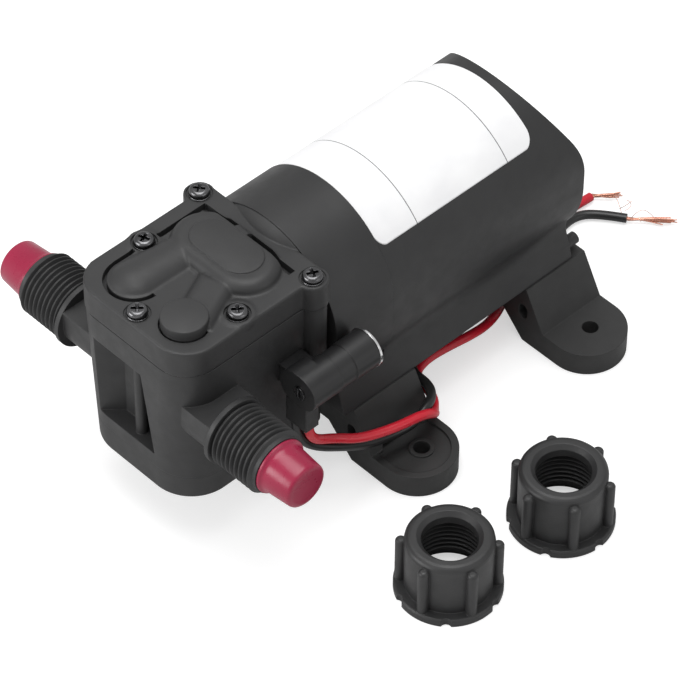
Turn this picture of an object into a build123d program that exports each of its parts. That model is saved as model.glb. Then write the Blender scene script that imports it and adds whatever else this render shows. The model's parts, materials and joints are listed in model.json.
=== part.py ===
from build123d import *
import os
from math import cos, radians, sin, sqrt, tan

# Diaphragm pump for caravans and campers, in millimetres.
# +X runs along the motor axis, from the pump head to the motor's rear end.
# -Y is the side with the pressure switch, +Z is up, and the feet stand on z = 0.
# The origin is the centre of the four foot holes, on the floor.

GAP = 0.3                # clearance between parts that don't fit each other
RUN = 0.03               # radial clearance of a running fit

# Motor shroud and its base
AXIS_Z = 56.5            # motor axis above the floor
SHROUD_R = 29.0          # outside radius of the shroud's round top
SHROUD_LOW_Z = 49.0      # centre height of the shroud's rounded lower half
SHROUD_WALL = 2.3
SHROUD_X0 = -34.0        # front edge of the shroud, where the adapter ends
SHROUD_X1 = 47.0         # rear end of the shroud's round part
TAIL_TOP_X = 34.2        # where the sloping tail starts, on top
TAIL_LOW_Z = 62.4        # where the sloping tail would meet the upright rear face
TAIL_ROUND = 30.0
BASE_X0 = -53.3          # front end of the shroud's base
BASE_X1 = 43.6           # its rear end, short of the round part's
BASE_Z = 22.0            # underside of the base
BASE_TOP_Z = 36.0
BASE_HALF = 29.0         # half width of the base at its lower edge
BASE_TOP_HALF = 24.5
BASE_VALLEY_R = 9.0      # hollow rounding between the round part and the base's flank
RAIL_H = 4.5             # dovetail rail under the base
RAIL_ROOT = 11.0         # half widths of the rail, at the base and at its lower face
RAIL_TIP = 14.0
LABEL_X1 = 30.4
LABEL_HALF = 23.0        # half width of the label, seen from above
LABEL_T = 0.25

# Pump head
HEAD_X0 = -111.0         # front face, half width and front corners at the head's underside
HEAD_X1 = -57.0
HEAD_HALF = 24.0
HEAD_ROUND = 14.0
HEAD_FLARE = 1.0         # the front leans out by this much up to the top
HEAD_WIDEN = 0.8         # each side leans out by this much up to the top
HEAD_TOP_ROUND = 10.5    # front corners at the top
HEAD_REAR_ROUND = 2.5
HEAD_BOTTOM = 19.5
HEAD_PART_Z = 28.5       # joint between bottom cover and head
HEAD_SEAM_Z = 73.0       # joint between head and valve cover
HEAD_TOP = 82.5
CHAMBER_X = -76.0        # centre line of diaphragm, rod and eccentric
EAR_R = 4.8              # ears round the two rear cover screws
COLUMN_R = 4.2           # the same ears below the cover
COVER_SCREWS = [(-61.6, 24.0), (-61.6, -24.0), (-87.0, 19.8), (-87.0, -19.8), (-107.4, 0.0)]
BOTTOM_SCREWS = [(-105.0, 17.0), (-105.0, -17.0), (-63.0, 20.4), (-63.0, -20.4)]
ADAPTER_SCREWS = [(20.3, 40.0), (-20.3, 40.0), (20.3, 64.5), (-20.3, 64.5)]
MOTOR_SCREW_Z = 15.0     # distance of the two motor screws from the axis

# Ports
PORT_X = -100.3
PORT_Z = 53.3
PORT_R = 10.48           # half of a G1/2 thread's 20.955 mm
THREAD_DEPTH = 1.15
THREAD_PITCH = 1.814
COLLAR_R = 11.1          # smooth collar behind the thread
COLLAR_W = 1.6
NECK_R = 8.9             # neck between the head's side and the thread
NECK_TOP = 6.8           # height of its flat top above the port's axis
THREAD_Y0 = 31.5         # distance of the thread's first ring from the middle
PORT_END = 50.9          # outer end of each port
SOCKET_R = 6.5           # mouth that takes the plug or the hose fitting
SOCKET_DEPTH = 9.0
PASSAGE_R = 4.2
RISER_R = 3.4
RISER_Y = 11.5
VALVE_Y = 6.5            # distance of each valve from the chamber's middle
CHANNEL_TOP = 82.0

# Adapter housing between head and motor
ADAPTER_R = SHROUD_R + 0.6
ADAPTER_BORE = ADAPTER_R - 3.3
ADAPTER_FRONT_T = 5.0
ADAPTER_REAR_T = 4.7

# Feet
FOOT_PITCH = 72.6        # hole spacing along X
FOOT_HALF_SPREAD = 44.7  # half of the hole spacing along Y
FOOT_HALF_W = 12.7       # half width of a foot, and radius of its lobes
FOOT_AHEAD = (0.9, 0.5)  # distance of the foot's middle ahead of its holes, front and rear foot
LOBE_Y = FOOT_HALF_SPREAD - 1.0  # centre of each lobe's round end
PAD_H = 8.1
FOOT_HOLE_R = 2.6
LEG_OUT_LOW = 37.2       # half width of the leg where it meets the pad
LEG_OUT_TOP = 29.6
ARCH_LOW_HALF = 28.7     # passage under the motor, wide at the floor and narrower above
ARCH_TOP_HALF = 18.7
ARCH_H = 10.0

# Motor
CAN_R = 26.4
CAN_WALL = 1.6
CAN_X1 = 29.5
CAN_BOSS_R = 10.0
CAN_BOSS_L = 4.0
CAN_FRONT_T = 2.0
SHAFT_R = 2.5
SHAFT_X0 = -80.0
SHAFT_X1 = 32.5
BEARING_R = 8.0          # outside radius of the two ball bearings
BEARING_W = 5.0
BUSH_R = 5.0
CAP_T = 4.0
CORE_R = 20.1
CORE_X0 = -18.0
CORE_X1 = 14.0
SLOTS = 8
MAGNET_IN = 20.7
COMM_R = 7.5
COMM_X0 = 19.0
COMM_X1 = 25.0

# Crank drive and diaphragm
THROW = 1.2              # eccentric offset, so the diaphragm's stroke is twice this
ECC_R = 7.0
ROD_BEARING_R = 11.0
ROD_RING_R = 14.0
ROD_HALF_W = 4.0
ROD_Z = AXIS_Z - THROW   # big end's centre at rest, at the lowest point of the stroke
DIAPHRAGM_R = 15.2
DIAPHRAGM_T = 1.8
DECK_Z = HEAD_SEAM_Z - DIAPHRAGM_T
DECK_HOLE_R = 11.5
DISC_TOP = DECK_Z - THROW
PISTON_R = 9.5
CLAMP_R = 8.5
PLATE_TOP = 78.2         # upper face of the valve plate
DISH_TOP = 76.8          # ceiling of the pumping chamber
DISH_R = 10.8

# Pressure switch
SWITCH_Y = -(HEAD_HALF + 12.6)
SWITCH_Z = 56.3
SWITCH_R = 6.25          # its round parts, all on one axis
SWITCH_X0 = -78.5        # face with the adjusting screw
SWITCH_FACE_X1 = -71.0   # rear end of the wide front part
SWITCH_FACE_IN = 8.4     # how far the front part reaches from the axis towards the head
SWITCH_LINK = (-75.5, -66.6, 0.8)  # block between switch and head: its two ends, and its top above the axis
SWITCH_BLOCK_X1 = -67.0
SWITCH_STEP_X = -61.3    # step on the cap
SWITCH_CAP_X1 = -52.3
SWITCH_END_X = -51.6
SWITCH_BOX = (-78.4, -73.4, -(HEAD_HALF + 15.0), -(HEAD_HALF + 6.6), 41.0, 50.5)
DUCT_OFF = 4.9           # pressure duct's distance from the switch's axis
ADJUST_R = 2.2

# Plugs, nuts and leads
PLUG_FLANGE_R = 8.5
PLUG_FLANGE_T = 1.2
PLUG_R0 = 8.0
PLUG_R1 = 7.2
PLUG_END = 62.5
NUT_H = 21.6
NUT_R = 13.2
NUT_TOP_R = 13.4
NUT_FLANGE_R = 16.3
NUT_RIB_R = 15.9
NUT_HOLE_R = 8.4
NUT_LIP = 4.0
NUT_MOUTH_R = 12.3       # plain mouth below the thread
NUT_MOUTH_H = 4.6
NUTS = [("union_nut_1", -63.55, -83.85, 13.0), ("union_nut_2", -20.7, -88.1, 58.0)]
LEAD_R = 1.5
STRAND_R = 0.28


def save(name, shape):
    solids = list(shape.solids())
    export_step(solids[0] if len(solids) == 1 else Compound(children=solids), f"parts/{name}.step")


def block(x0, x1, y0, y1, z0, z1):
    return Pos((x0 + x1) / 2, (y0 + y1) / 2, (z0 + z1) / 2) * Box(x1 - x0, y1 - y0, z1 - z0)


def rod_x(r, x0, x1, y=0.0, z=AXIS_Z):
    return Pos((x0 + x1) / 2, y, z) * Rot(0, 90, 0) * Cylinder(r, x1 - x0)


def rod_y(r, y0, y1, x=PORT_X, z=PORT_Z):
    return Pos(x, (y0 + y1) / 2, z) * Rot(90, 0, 0) * Cylinder(r, abs(y1 - y0))


def rod_z(r, z0, z1, x=0.0, y=0.0):
    return Pos(x, y, (z0 + z1) / 2) * Cylinder(r, z1 - z0)


def tube_x(r1, r0, x0, x1, y=0.0, z=AXIS_Z):
    return rod_x(r1, x0, x1, y, z) - rod_x(r0, x0 - 1, x1 + 1, y, z)


def turned(points):
    """A solid turned round Z from (radius, height) points."""
    return revolve(make_face(Polyline(*[(r, 0, z) for r, z in points], close=True)), Axis.Z)


def along_x(face, x0, x1):
    """A face drawn with x = global Y and y = global Z, made a solid from x0 to x1."""
    return extrude(Plane.YZ.offset(x0) * face, x1 - x0)


def outline(*points):
    return make_face(Polyline(*points, close=True))


def pan_screw(length, r=1.5, head_r=3.3, head_h=2.1):
    """Pan head screw with a cross recess, its head's underside on z = 0, pointing down."""
    head = Cylinder(head_r, head_h, align=(Align.CENTER, Align.CENTER, Align.MIN))
    head = fillet(head.edges().sort_by(Axis.Z)[-1], head_h * 0.6)
    shank = Cylinder(r, length, align=(Align.CENTER, Align.CENTER, Align.MAX))
    tip = chamfer(shank.edges().sort_by(Axis.Z)[0], r * 0.4)
    cross = Pos(0, 0, head_h) * (Box(3.4, 0.8, 2.2) + Box(0.8, 3.4, 2.2))
    return head + tip - cross


# Motor end

def obround(r):
    """The shroud's round section: two circles joined by upright sides."""
    sides = Pos(0, (AXIS_Z + SHROUD_LOW_Z) / 2) * Rectangle(2 * r, AXIS_Z - SHROUD_LOW_Z)
    return Pos(0, AXIS_Z) * Circle(r) + Pos(0, SHROUD_LOW_Z) * Circle(r) + sides


def base_section(inset):
    """The base's section, a trapezium that widens downwards."""
    slope = (BASE_HALF - BASE_TOP_HALF) / (BASE_TOP_Z - BASE_Z)
    low = BASE_HALF - slope * inset - inset
    top = BASE_TOP_HALF - inset
    z0 = BASE_Z + inset
    return outline((-low, z0), (low, z0), (top, BASE_TOP_Z), (-top, BASE_TOP_Z))


def tail_outline(inset):
    """Side view of the shroud, with its sloping rear end."""
    slope = (SHROUD_X1 - TAIL_TOP_X) / (AXIS_Z + SHROUD_R - TAIL_LOW_Z)
    back = inset * sqrt(1 + slope**2)
    x_rear = SHROUD_X1 - inset
    z_bend = TAIL_LOW_Z - (back - inset) / slope
    z_top = AXIS_Z + SHROUD_R + 1
    x_top = TAIL_TOP_X - back - slope
    low = BASE_Z - RAIL_H - 1
    side = outline((BASE_X0 - 10, low), (x_rear, low), (x_rear, z_bend), (x_top, z_top), (BASE_X0 - 10, z_top))
    bend = [v for v in side.vertices() if abs(v.Z) < 1e-6 and abs(v.Y - z_bend) < 1e-3]
    return extrude(Plane.XZ * fillet(bend, TAIL_ROUND - inset), SHROUD_R + 5, both=True)


def above(z):
    return block(-130, 60, -60, 60, z, 120)


def shroud_section():
    """Round part and base in one section, with a hollow rounding where they meet."""
    section = obround(SHROUD_R) + base_section(0)
    valleys = [v for v in section.vertices() if abs(v.X) > 20 and BASE_Z + 5 < v.Y < BASE_TOP_Z + 2]
    return fillet(valleys, BASE_VALLEY_R)


def shroud():
    floor = BASE_Z + SHROUD_WALL
    outer = along_x(shroud_section(), SHROUD_X0, BASE_X1) + along_x(obround(SHROUD_R), SHROUD_X0, SHROUD_X1 + 5)
    hollow = along_x(obround(CAN_R + GAP), SHROUD_X0 - 1, SHROUD_X1)
    hollow += along_x(base_section(SHROUD_WALL), SHROUD_X0 - 1, BASE_X1 - SHROUD_WALL)
    hollow = hollow & above(floor) & tail_outline(SHROUD_WALL)
    cradle = Part()
    for x in (-20.0, 0.0, 20.0):
        rib = along_x(base_section(SHROUD_WALL - 0.5), x - 1.2, x + 1.2)
        cradle += rib - rod_x(CAN_R + GAP, x - 5, x + 5)
    tongue = along_x(base_section(0), BASE_X0, SHROUD_X0)
    tongue -= along_x(base_section(SHROUD_WALL), BASE_X0 + SHROUD_WALL, SHROUD_X0 + 5)
    tongue -= along_x(obround(ADAPTER_R + GAP), BASE_X0 - 5, SHROUD_X0) & above(floor)
    rail = along_x(outline((-RAIL_ROOT, BASE_Z), (RAIL_ROOT, BASE_Z), (RAIL_TIP, BASE_Z - RAIL_H),
                           (-RAIL_TIP, BASE_Z - RAIL_H)), BASE_X0, BASE_X1)
    knob = rod_x(2.0, BASE_X1 - 3, BASE_X1 + 4.2, -25.8, 25.6)
    body = ((outer & above(BASE_Z) & tail_outline(0)) - hollow) + cradle + tongue + rail
    return body + knob + mirror(knob, Plane.XZ)


def label():
    shell = tube_x(SHROUD_R + LABEL_T, SHROUD_R, SHROUD_X0, LABEL_X1)
    length = LABEL_X1 - SHROUD_X0
    plan = Pos((LABEL_X1 + SHROUD_X0) / 2, 0) * RectangleRounded(length, 2 * LABEL_HALF, 3.5)
    return shell & extrude(Pos(0, 0, AXIS_Z + 5) * plan, 40)


def adapter():
    z_low = BASE_Z + SHROUD_WALL + GAP
    x1 = SHROUD_X0
    body = along_x(obround(ADAPTER_R), HEAD_X1, x1) & above(z_low)
    room = along_x(obround(ADAPTER_BORE), HEAD_X1 + ADAPTER_FRONT_T, x1 - ADAPTER_REAR_T)
    body -= room & above(z_low + 3)
    body -= rod_x(CAN_BOSS_R + GAP, x1 - 10, x1 + 1)
    body -= rod_x(BEARING_R + 0.02, HEAD_X1 - 1, HEAD_X1 + 6)
    for y, z in ADAPTER_SCREWS:
        body -= rod_x(1.7, HEAD_X1 - 1, HEAD_X1 + 10, y, z)
    for side in (-1, 1):
        body -= rod_x(1.7, x1 - 10, x1 + 1, 0, AXIS_Z + side * MOTOR_SCREW_Z)
    return body


def foot(x, ahead, dished):
    """A bar under the base with a groove for the rail, and on each side a leg and a lobe."""
    clear = 0.25
    mid = x - ahead
    bar = along_x(outline((-LEG_OUT_LOW, 0), (LEG_OUT_LOW, 0), (LEG_OUT_LOW, PAD_H), (LEG_OUT_TOP, BASE_Z),
                          (-LEG_OUT_TOP, BASE_Z), (-LEG_OUT_LOW, PAD_H)), mid - FOOT_HALF_W, mid + FOOT_HALF_W)
    bar -= along_x(outline((-RAIL_ROOT - clear, BASE_Z + 0.5), (RAIL_ROOT + clear, BASE_Z + 0.5),
                           (RAIL_TIP + clear, BASE_Z - RAIL_H - clear),
                           (-RAIL_TIP - clear, BASE_Z - RAIL_H - clear)), x - 20, x + 20)
    lean = (ARCH_LOW_HALF - ARCH_TOP_HALF) / ARCH_H
    bar -= along_x(outline((-ARCH_LOW_HALF - lean, -1), (ARCH_LOW_HALF + lean, -1), (ARCH_TOP_HALF, ARCH_H),
                           (-ARCH_TOP_HALF, ARCH_H)), x - 20, x + 20)
    for side in (-1, 1):
        inner = sorted((side * LOBE_Y, side * (LEG_OUT_LOW - 8)))
        bar += rod_z(FOOT_HALF_W, 0, PAD_H, mid, side * LOBE_Y)
        bar += block(mid - FOOT_HALF_W, mid + FOOT_HALF_W, *inner, 0, PAD_H)
        if dished:
            dish_r = FOOT_HALF_W - 2.4
            edge = sorted((side * LOBE_Y, side * (LEG_OUT_LOW + 0.6)))
            bar -= rod_z(dish_r, PAD_H - 0.8, PAD_H + 1, mid, side * LOBE_Y)
            bar -= block(mid - dish_r, mid + dish_r, *edge, PAD_H - 0.8, PAD_H + 1)
            bar += rod_z(FOOT_HOLE_R + 1.3, PAD_H - 1, PAD_H - 0.1, x, side * FOOT_HALF_SPREAD)
        bar -= rod_z(FOOT_HOLE_R, -1, PAD_H + 1, x, side * FOOT_HALF_SPREAD)
        for end in (-1, 1):
            mouth = Pos(mid + end * FOOT_HALF_W, side * (LEG_OUT_TOP - 1.0), 12.4) * Rot(0, 90, 0)
            bar -= mouth * extrude(SlotOverall(5.4, 3.6), 4, both=True)
    return bar


# Pump head

def head_plan(z, inset):
    """Plan of the head at height z; it grows a little upwards, and its front corners get sharper."""
    t = (z - HEAD_BOTTOM) / (HEAD_TOP - HEAD_BOTTOM)
    x0 = HEAD_X0 - t * HEAD_FLARE + inset
    x1 = HEAD_X1 - inset
    plan = Pos((x0 + x1) / 2, 0) * Rectangle(x1 - x0, 2 * (HEAD_HALF + t * HEAD_WIDEN - inset))
    front = HEAD_ROUND + t * (HEAD_TOP_ROUND - HEAD_ROUND) - inset
    plan = fillet(plan.vertices().sort_by(Axis.X)[:2], front)
    if HEAD_REAR_ROUND > inset:
        plan = fillet(plan.vertices().sort_by(Axis.X)[-2:], HEAD_REAR_ROUND - inset)
    return Pos(0, 0, z) * plan


def head_block(z0, z1, inset=0.0):
    return loft([head_plan(z0, inset), head_plan(z1, inset)], ruled=True)


def screw_ears(r, z0, z1):
    ears = Part()
    for x, y in COVER_SCREWS[:2]:
        ears += rod_z(r, z0, z1, x, y)
    return ears & block(-80, HEAD_X1, -40, 40, z0, z1)


def port_profile():
    """Half section of a port's outside, as (radius, distance from its first ring)."""
    end = PORT_END - THREAD_Y0
    root = PORT_R - THREAD_DEPTH
    points = [(PASSAGE_R, 0), (COLLAR_R, 0), (COLLAR_R, COLLAR_W)]
    for i in range(int((end - COLLAR_W - 1.4) / THREAD_PITCH)):
        start = COLLAR_W + i * THREAD_PITCH
        points += [(root, start + 0.1), (root, start + 0.5), (PORT_R, start + 1.1), (PORT_R, start + 1.35)]
    return points + [(root, end - 1.3), (root, end), (PASSAGE_R, end)]


def pocket():
    """Slanting recess in the head's front, with an upright screw column standing in it."""
    plan = outline((HEAD_X0 - 3, 17.7), (HEAD_X0 + 5.7, 9.0), (HEAD_X0 + 5.7, -10), (HEAD_X0 - 3, -10))
    front = outline((18, 33.5), (18, 64), (-5.3, 64), (-9.7, 33.5))
    return extrude(Pos(0, 0, 33.5) * plan, 31) & along_x(front, HEAD_X0 - 4, HEAD_X0 + 7)


def pump_head():
    body = head_block(HEAD_PART_Z, HEAD_SEAM_Z)
    body += screw_ears(COLUMN_R, HEAD_PART_Z + 13, HEAD_SEAM_Z)
    body -= block(-91, HEAD_X1 + 1, -17.5, 17.5, HEAD_PART_Z - 1, DECK_Z - 3)
    body -= rod_z(DECK_HOLE_R, 60, HEAD_SEAM_Z + 1, CHAMBER_X)
    body -= rod_z(DIAPHRAGM_R + GAP, DECK_Z, HEAD_SEAM_Z + 1, CHAMBER_X)
    body -= pocket()
    column_x, column_y = COVER_SCREWS[4]
    body += rod_z(1.8, 33, 65, column_x, column_y)
    for side in (-1, 1):
        body += Pos(PORT_X, side * THREAD_Y0, PORT_Z) * Rot(-side * 90, 0, 0) * turned(port_profile())
        ends = sorted((side * 16, side * (THREAD_Y0 + 0.2)))
        neck = rod_y(NECK_R, *ends) & block(-130, -80, *ends, 0, PORT_Z + NECK_TOP)
        body += neck + block(PORT_X - NECK_R, PORT_X + NECK_R, *ends, PORT_Z, PORT_Z + NECK_TOP)
        body -= rod_y(SOCKET_R, side * (PORT_END - SOCKET_DEPTH), side * (PORT_END + 1))
        body -= rod_y(PASSAGE_R, side * (RISER_Y - 2), side * PORT_END)
        body -= rod_z(RISER_R, PORT_Z, HEAD_SEAM_Z + 1, PORT_X, side * RISER_Y)
    for x, y in COVER_SCREWS:
        body -= rod_z(1.6, HEAD_SEAM_Z - 8.3, HEAD_SEAM_Z + 1, x, y)
    for x, y in BOTTOM_SCREWS:
        body -= rod_z(1.6, HEAD_PART_Z - 1, HEAD_PART_Z + 8.5, x, y)
    for y, z in ADAPTER_SCREWS:
        body -= rod_x(1.6, HEAD_X1 - 9, HEAD_X1 + 1, y, z)
    return body


def relief():
    """Raised channels on the cover: far riser, broad dome over the chamber, near riser."""
    z0 = HEAD_TOP - 3
    far = rod_x(7.6, -98.9, -80.0, 11.9, 78.2) + Pos(-98.9, 11.9, 78.2) * Sphere(7.6)
    far = far & block(-120, -70, 0, 30, z0, 100)
    dome = extrude(Pos(-73.3, 0.6, z0) * SlotOverall(37.6, 21.6, rotation=90), 86.0 - z0)
    dome = fillet(dome.faces().sort_by(Axis.Z)[-1].edges(), 4.0)
    dome += extrude(Pos(-72.8, 0.8, 84) * SlotOverall(24.6, 13.6, rotation=90), 2.4)
    near = rod_z(7.0, z0, 85.2, -99.6, -11.3)
    bridge = Pos(-90.5, -8.6, 0) * Rot(0, 0, 15) * block(-9, 10, -5.2, 5.2, z0, 84.3)
    bridge = fillet(bridge.faces().sort_by(Axis.Z)[-1].edges().filter_by(GeomType.LINE), 2.2)
    return far + dome + near + bridge


def valve_cover():
    body = head_block(HEAD_SEAM_Z, HEAD_TOP)
    body += screw_ears(EAR_R, HEAD_SEAM_Z, HEAD_TOP)
    body += relief()
    slot = HEAD_TOP - 1.6
    body -= block(-82.0, -62.2, 19.6, 21.3, slot, HEAD_TOP + 8)
    body -= block(-63.9, -62.2, 5.0, 21.3, slot, HEAD_TOP + 8)
    body -= block(-63.9, -62.2, -18.0, 0.6, slot, HEAD_TOP + 8)
    body -= rod_z(DIAPHRAGM_R + GAP, HEAD_SEAM_Z - 1, PLATE_TOP, CHAMBER_X)
    for side in (-1, 1):
        body -= block(PORT_X - 1.5, CHAMBER_X, *sorted((side * VALVE_Y, side * 12.5)), PLATE_TOP - 2, CHANNEL_TOP)
        body -= rod_z(RISER_R, HEAD_SEAM_Z - 1, CHANNEL_TOP, PORT_X, side * RISER_Y)
        body -= rod_z(4.6, PLATE_TOP - 1, CHANNEL_TOP, CHAMBER_X, side * VALVE_Y)
    for x, y in COVER_SCREWS:
        body -= rod_z(1.75, HEAD_SEAM_Z - 1, HEAD_TOP + 1, x, y)
        body -= rod_z(3.9, HEAD_TOP - 0.5, HEAD_TOP + 8, x, y)
    return body


def bottom_cover():
    body = head_block(HEAD_BOTTOM, HEAD_PART_Z)
    body = fillet(body.faces().sort_by(Axis.Z)[0].edges(), 1.0)
    body -= head_block(HEAD_BOTTOM + 3, HEAD_PART_Z + 1, 3)
    for x, y in BOTTOM_SCREWS:
        boss = rod_z(3.4, HEAD_BOTTOM + 1.5, HEAD_PART_Z, x, y)
        body += boss & head_block(HEAD_BOTTOM + 1, HEAD_PART_Z, 0.5)
    for x, y in BOTTOM_SCREWS:
        body -= rod_z(1.75, 0, 40, x, y) + rod_z(3.2, 0, HEAD_BOTTOM + 2.4, x, y)
    return body


def valve_plate():
    plate = rod_z(DIAPHRAGM_R, HEAD_SEAM_Z, PLATE_TOP, CHAMBER_X)
    plate -= rod_z(DISH_R, HEAD_SEAM_Z - 1, DISH_TOP, CHAMBER_X)
    for side in (-1, 1):
        plate -= rod_z(1.25, 70, 80, CHAMBER_X, side * VALVE_Y)
        for i in range(4):
            a = radians(45 + 90 * i)
            plate -= rod_z(0.8, 70, 80, CHAMBER_X + 2.4 * cos(a), side * VALVE_Y + 2.4 * sin(a))
    return plate


def umbrella_valve(up):
    """Rubber disc on a stem with a retaining bead; the disc lies on z = 0 and grows to +Z."""
    plate_t = PLATE_TOP - DISH_TOP
    valve = turned([(0, 0), (3.8, 0), (3.8, 0.35), (1.2, 0.8), (0, 0.8)])
    valve += turned([(0, 0.4), (1.2, 0.4), (1.2, -plate_t), (1.7, -plate_t), (1.2, -plate_t - 1.1), (0, -plate_t - 1.1)])
    return valve if up else mirror(valve, Plane.XY)


def diaphragm():
    z0, z1 = DECK_Z, HEAD_SEAM_Z
    return Pos(CHAMBER_X, 0, 0) * turned([
        (1.7, z0 - THROW), (9.7, z0 - THROW), (11.4, z0), (DIAPHRAGM_R, z0), (DIAPHRAGM_R, z1),
        (12.6, z1), (9.4, z1 - THROW), (1.7, z1 - THROW)])


def connecting_rod():
    x0, x1 = CHAMBER_X - ROD_HALF_W, CHAMBER_X + ROD_HALF_W
    rod = rod_x(ROD_RING_R, x0, x1, 0, ROD_Z) + rod_z(PISTON_R, DISC_TOP - 2.4, DISC_TOP, CHAMBER_X)
    rod -= rod_x(ROD_BEARING_R + 0.02, x0 - 1, x1 + 1, 0, ROD_Z)
    return rod - rod_z(1.52, 67.2, 80, CHAMBER_X)


def clamp_plate():
    z1 = HEAD_SEAM_Z
    plate = Pos(CHAMBER_X, 0, 0) * turned([
        (1.6, z1 - THROW), (CLAMP_R, z1 - THROW), (CLAMP_R - 0.6, z1), (3.2, z1), (1.6, z1 - 0.9)])
    return plate


def clamp_screw():
    z1 = HEAD_SEAM_Z
    screw = turned([(0, 67.4), (1.5, 67.4), (1.5, z1 - 0.95), (3.0, z1), (0, z1)])
    return Pos(CHAMBER_X, 0, 0) * screw - Pos(CHAMBER_X, 0, z1) * (Box(2.8, 0.6, 1.6) + Box(0.6, 2.8, 1.6))


# Rotor

def eccentric():
    x0, x1 = CHAMBER_X - ROD_HALF_W, CHAMBER_X + ROD_HALF_W
    body = rod_x(ECC_R, x0, x1, 0, ROD_Z) + rod_x(6.0, x1, x1 + 7.0)
    weight = rod_x(10.4, x1 + 1.2, x1 + 6.2) & block(-90, -60, -9.5, 9.5, AXIS_Z, 90)
    return body + weight - rod_x(SHAFT_R + 0.02, -90, -60) - rod_z(1.3, AXIS_Z - 8, AXIS_Z, x1 + 3.6)


def eccentric_set_screw():
    x = CHAMBER_X + ROD_HALF_W + 3.6
    screw = rod_z(1.25, AXIS_Z - 6.2, AXIS_Z - SHAFT_R - 0.02, x)
    return screw - Pos(x, 0, AXIS_Z - 6.2) * Cylinder(0.6, 1.6)


def armature_core():
    core = rod_x(CORE_R, CORE_X0, CORE_X1) - rod_x(SHAFT_R + 0.02, CORE_X0 - 1, CORE_X1 + 1)
    for i in range(SLOTS):
        cut = block(CORE_X0 - 1, CORE_X1 + 1, -2.9, 2.9, 9.2, 17.0) + block(CORE_X0 - 1, CORE_X1 + 1, -1.1, 1.1, 15, 22)
        core -= Pos(0, 0, AXIS_Z) * Rot(360 / SLOTS * i, 0, 0) * cut
    return core


def armature_windings():
    rear = tube_x(16.6, 8.0, CORE_X1 + 0.1, CORE_X1 + 4.4)
    front = tube_x(16.6, 8.0, CORE_X0 - 5.5, CORE_X0 - 0.1)
    rear = fillet(rear.edges().filter_by(GeomType.CIRCLE).sort_by(Axis.X)[-2:], 1.5)
    front = fillet(front.edges().filter_by(GeomType.CIRCLE).sort_by(Axis.X)[:2], 1.5)
    coils = rear + front
    for i in range(SLOTS):
        bar = block(CORE_X0 - 1, CORE_X1 + 1, -2.7, 2.7, 9.4, 16.4)
        coils += Pos(0, 0, AXIS_Z) * Rot(360 / SLOTS * i, 0, 0) * bar
    return coils


def commutator():
    ring = tube_x(COMM_R, SHAFT_R + 0.02, COMM_X0, COMM_X1)
    for i in range(SLOTS):
        ring -= Pos(0, 0, AXIS_Z) * Rot(360 / SLOTS * (i + 0.5), 0, 0) * block(COMM_X0 - 1, COMM_X1 + 1, -0.25, 0.25, 6.4, 9)
    return ring


def ball_bearing(r_out, r_in, x0, x1, z=AXIS_Z):
    """Sealed ball bearing: two rings joined by the seals, with a groove between them on each side."""
    mid = (r_out + r_in) / 2
    bearing = tube_x(r_out, r_in, x0, x1, 0, z)
    for x in (x0, x1):
        bearing -= tube_x(mid + (r_out - r_in) * 0.22, mid - (r_out - r_in) * 0.22, x - 0.4, x + 0.4, 0, z)
    return bearing


def motor_can():
    x0 = SHROUD_X0
    can = tube_x(CAN_R, CAN_R - CAN_WALL, x0, CAN_X1) + rod_x(CAN_R, x0, x0 + CAN_FRONT_T)
    can += rod_x(CAN_BOSS_R, x0 - CAN_BOSS_L, x0)
    can -= rod_x(BEARING_R + 0.02, x0 - CAN_BOSS_L + 0.6, x0 + 20)
    can -= rod_x(3.4, x0 - 10, x0)
    for side in (-1, 1):
        can -= rod_x(1.6, x0 - 1, x0 + 5, 0, AXIS_Z + side * MOTOR_SCREW_Z)
    return can


def motor_end_cap():
    r = CAN_R - CAN_WALL - 0.02
    cap = rod_x(r, CAN_X1 - CAP_T, CAN_X1) + rod_x(7.0, CAN_X1, SHAFT_X1 + 1.7)
    cap -= rod_x(BUSH_R + 0.02, CAN_X1 - CAP_T - 1, SHAFT_X1 + 0.5)
    return cap


def magnets():
    ring = tube_x(CAN_R - CAN_WALL - 0.02, MAGNET_IN, -20, 16)
    return ring - block(-30, 30, -9.0, 9.0, 0, 100)


def brush(side):
    body = block(19.8, 24.3, -2.2, 2.2, AXIS_Z + 5, AXIS_Z + 15) - rod_x(COMM_R + 0.05, 15, 30)
    return body if side > 0 else mirror(body, Plane.XY.offset(AXIS_Z))


def brush_holder(side):
    x1 = CAN_X1 - CAP_T
    body = block(19.0, x1, -3.0, 3.0, AXIS_Z + 9.2, AXIS_Z + 18)
    body -= block(19.75, 24.35, -2.25, 2.25, AXIS_Z, AXIS_Z + 17.2)
    return body if side > 0 else mirror(body, Plane.XY.offset(AXIS_Z))


# Pressure switch

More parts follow.
